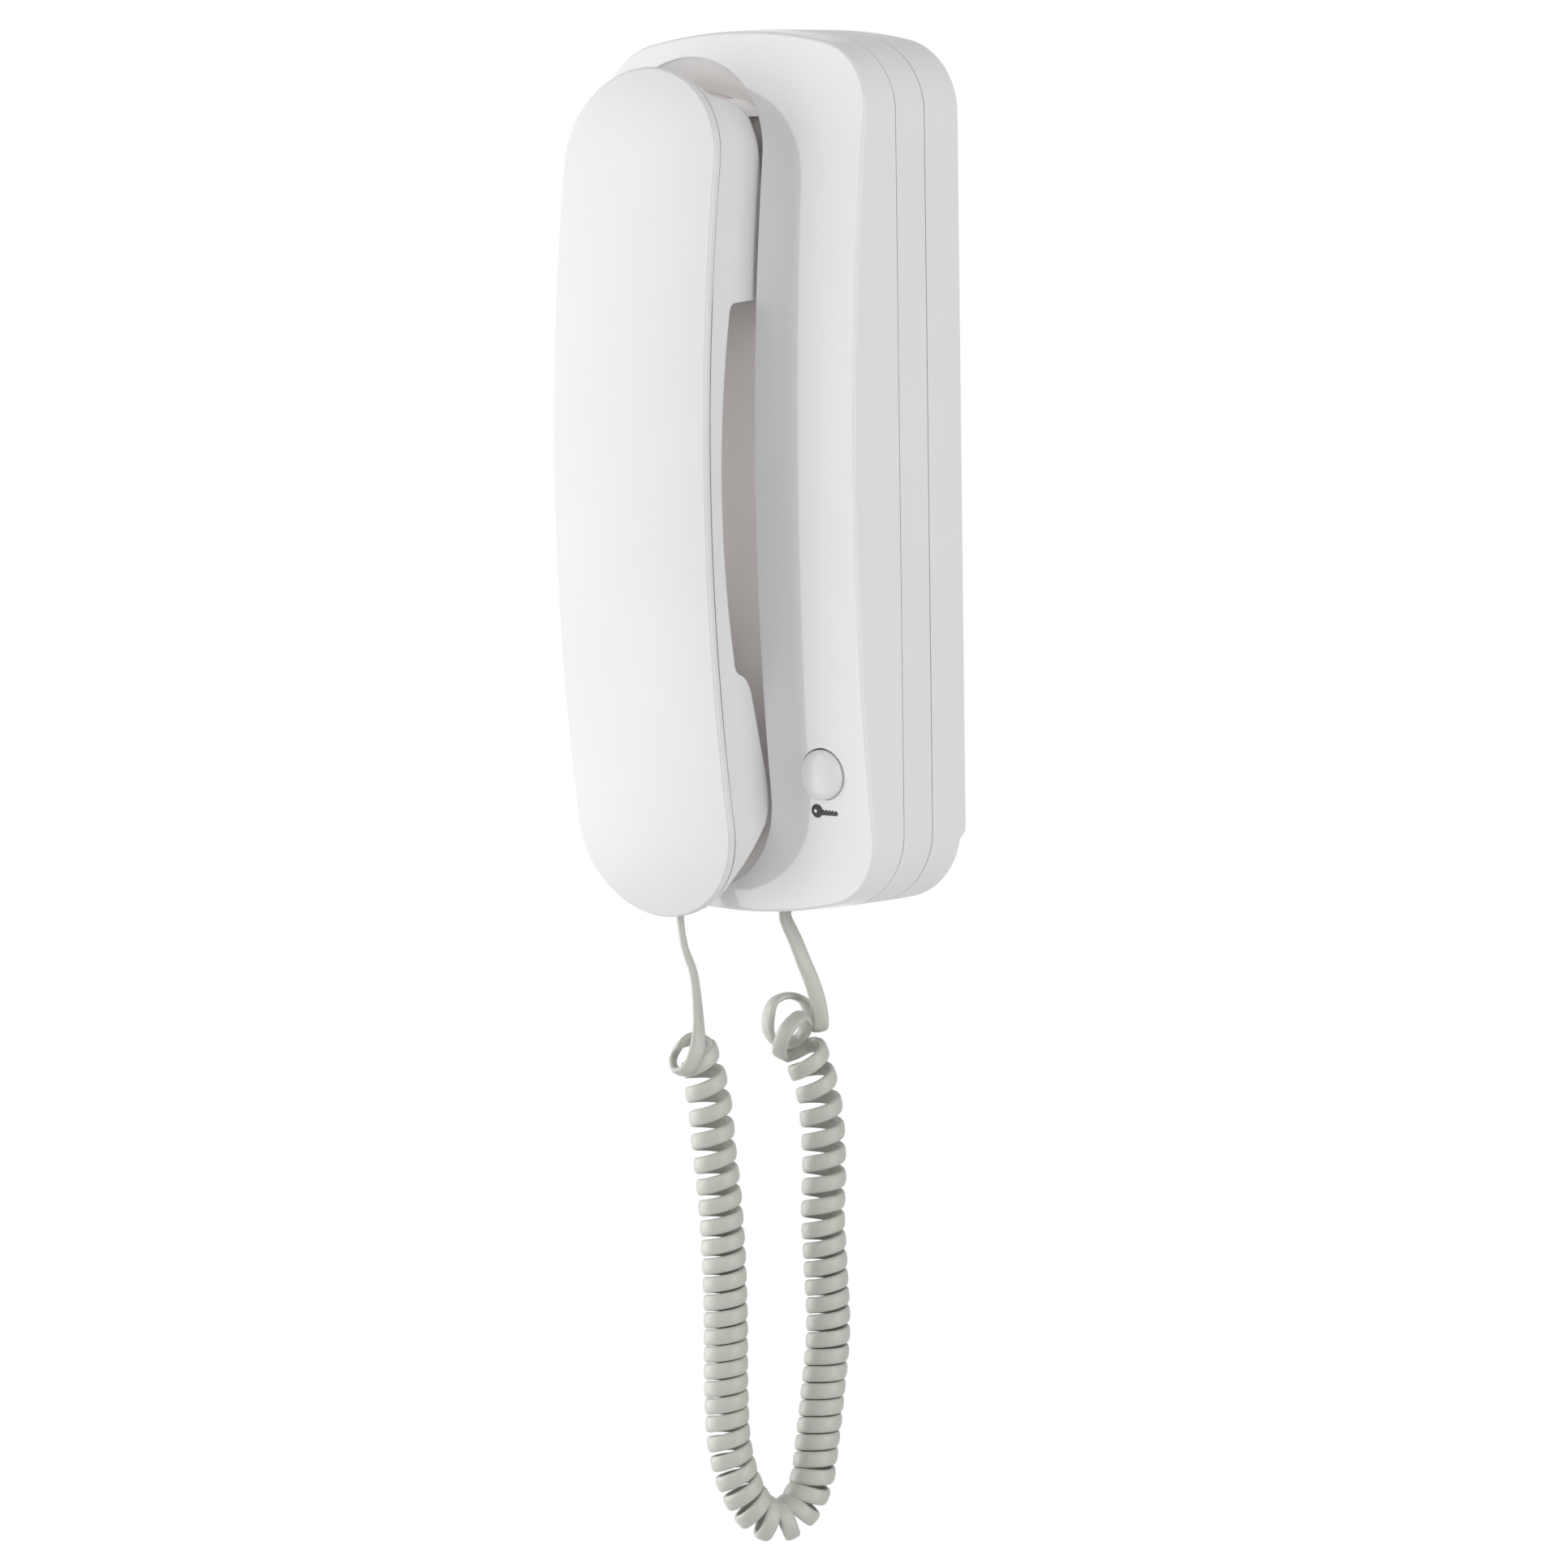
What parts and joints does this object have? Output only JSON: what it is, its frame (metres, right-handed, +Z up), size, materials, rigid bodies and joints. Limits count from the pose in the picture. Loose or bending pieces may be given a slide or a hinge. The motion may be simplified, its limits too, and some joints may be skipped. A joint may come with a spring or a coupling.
{
  "type": "wall intercom handset",
  "caption": "Slim wall-hung door-entry phone: lift-off handset in a curved cradle, hook lever, round door button and a curly cord between two modular plugs.",
  "frame": {"origin": "the middle of the flat back, on the wall that the phone hangs on", "axes": "+X to the right of someone facing the phone, -Y out of the wall towards them, +Z up"},
  "size_m": [0.08, 0.0613, 0.3631],
  "materials": {
    "cover_gloss": "gloss white",
    "case_satin": "satin white",
    "button_satin": "satin white",
    "handset_satin": "fine satin white",
    "cord": "soft pale grey",
    "clear_plastic": "clear, moulded",
    "dark_plastic": "black",
    "green_plastic": "green",
    "board": "green laminate",
    "rubber": "soft black",
    "steel": "zinc plated"
  },
  "bodies": {
    "base": {"rear_housing": "case_satin", "mid_frame": "case_satin", "front_cover": "cover_gloss", "main_board": "board", "hook_pin": "steel", "hook_switch": "dark_plastic", "door_switch": "dark_plastic", "terminal_block": "green_plastic", "call_sounder": "dark_plastic", "capacitor_1": "dark_plastic", "capacitor_2": "dark_plastic", "base_jack": "dark_plastic", "base_plug": "clear_plastic", "base_lead": "cord", "curly_cord": "cord", "handset_lead": "cord", "terminal_screw_1": "steel", "terminal_screw_2": "steel", "terminal_screw_3": "steel", "terminal_screw_4": "steel", "terminal_screw_5": "steel", "frame_screw_1": "steel", "frame_screw_2": "steel", "frame_screw_3": "steel", "frame_screw_4": "steel", "board_screw_1": "steel", "board_screw_2": "steel", "board_screw_3": "steel", "board_screw_4": "steel"},
    "hook_lever": {"hook_lever": "case_satin"},
    "door_button": {"door_button": "button_satin"},
    "handset": {"handset_rear_shell": "handset_satin", "handset_front_shell": "handset_satin", "earpiece_capsule": "dark_plastic", "microphone": "steel", "microphone_boot": "rubber", "handset_jack": "dark_plastic", "handset_plug": "clear_plastic", "handset_screw_1": "steel", "handset_screw_2": "steel"}
  },
  "joints": [
    {"name": "handset_lift", "type": "slide", "parent": "base", "child": "handset", "axis": [0, -0.866, 0.5], "range_m": [0, 0.06]},
    {"name": "hook_lever_turn", "type": "hinge", "parent": "base", "child": "hook_lever", "pos_m": [-0.0134, -0.0226, 0.061], "axis": [1, 0, 0], "range_deg": [0, 9]},
    {"name": "door_button_press", "type": "slide", "parent": "base", "child": "door_button", "axis": [0, 1, 0], "range_m": [0, 0.0015], "stiffness_N_per_m": 600, "springref_m": -0.001}
  ],
  "couplings": [
    {"joint": "hook_lever_turn", "follows": "handset_lift", "rad_per_m": 2.6179}
  ]
}
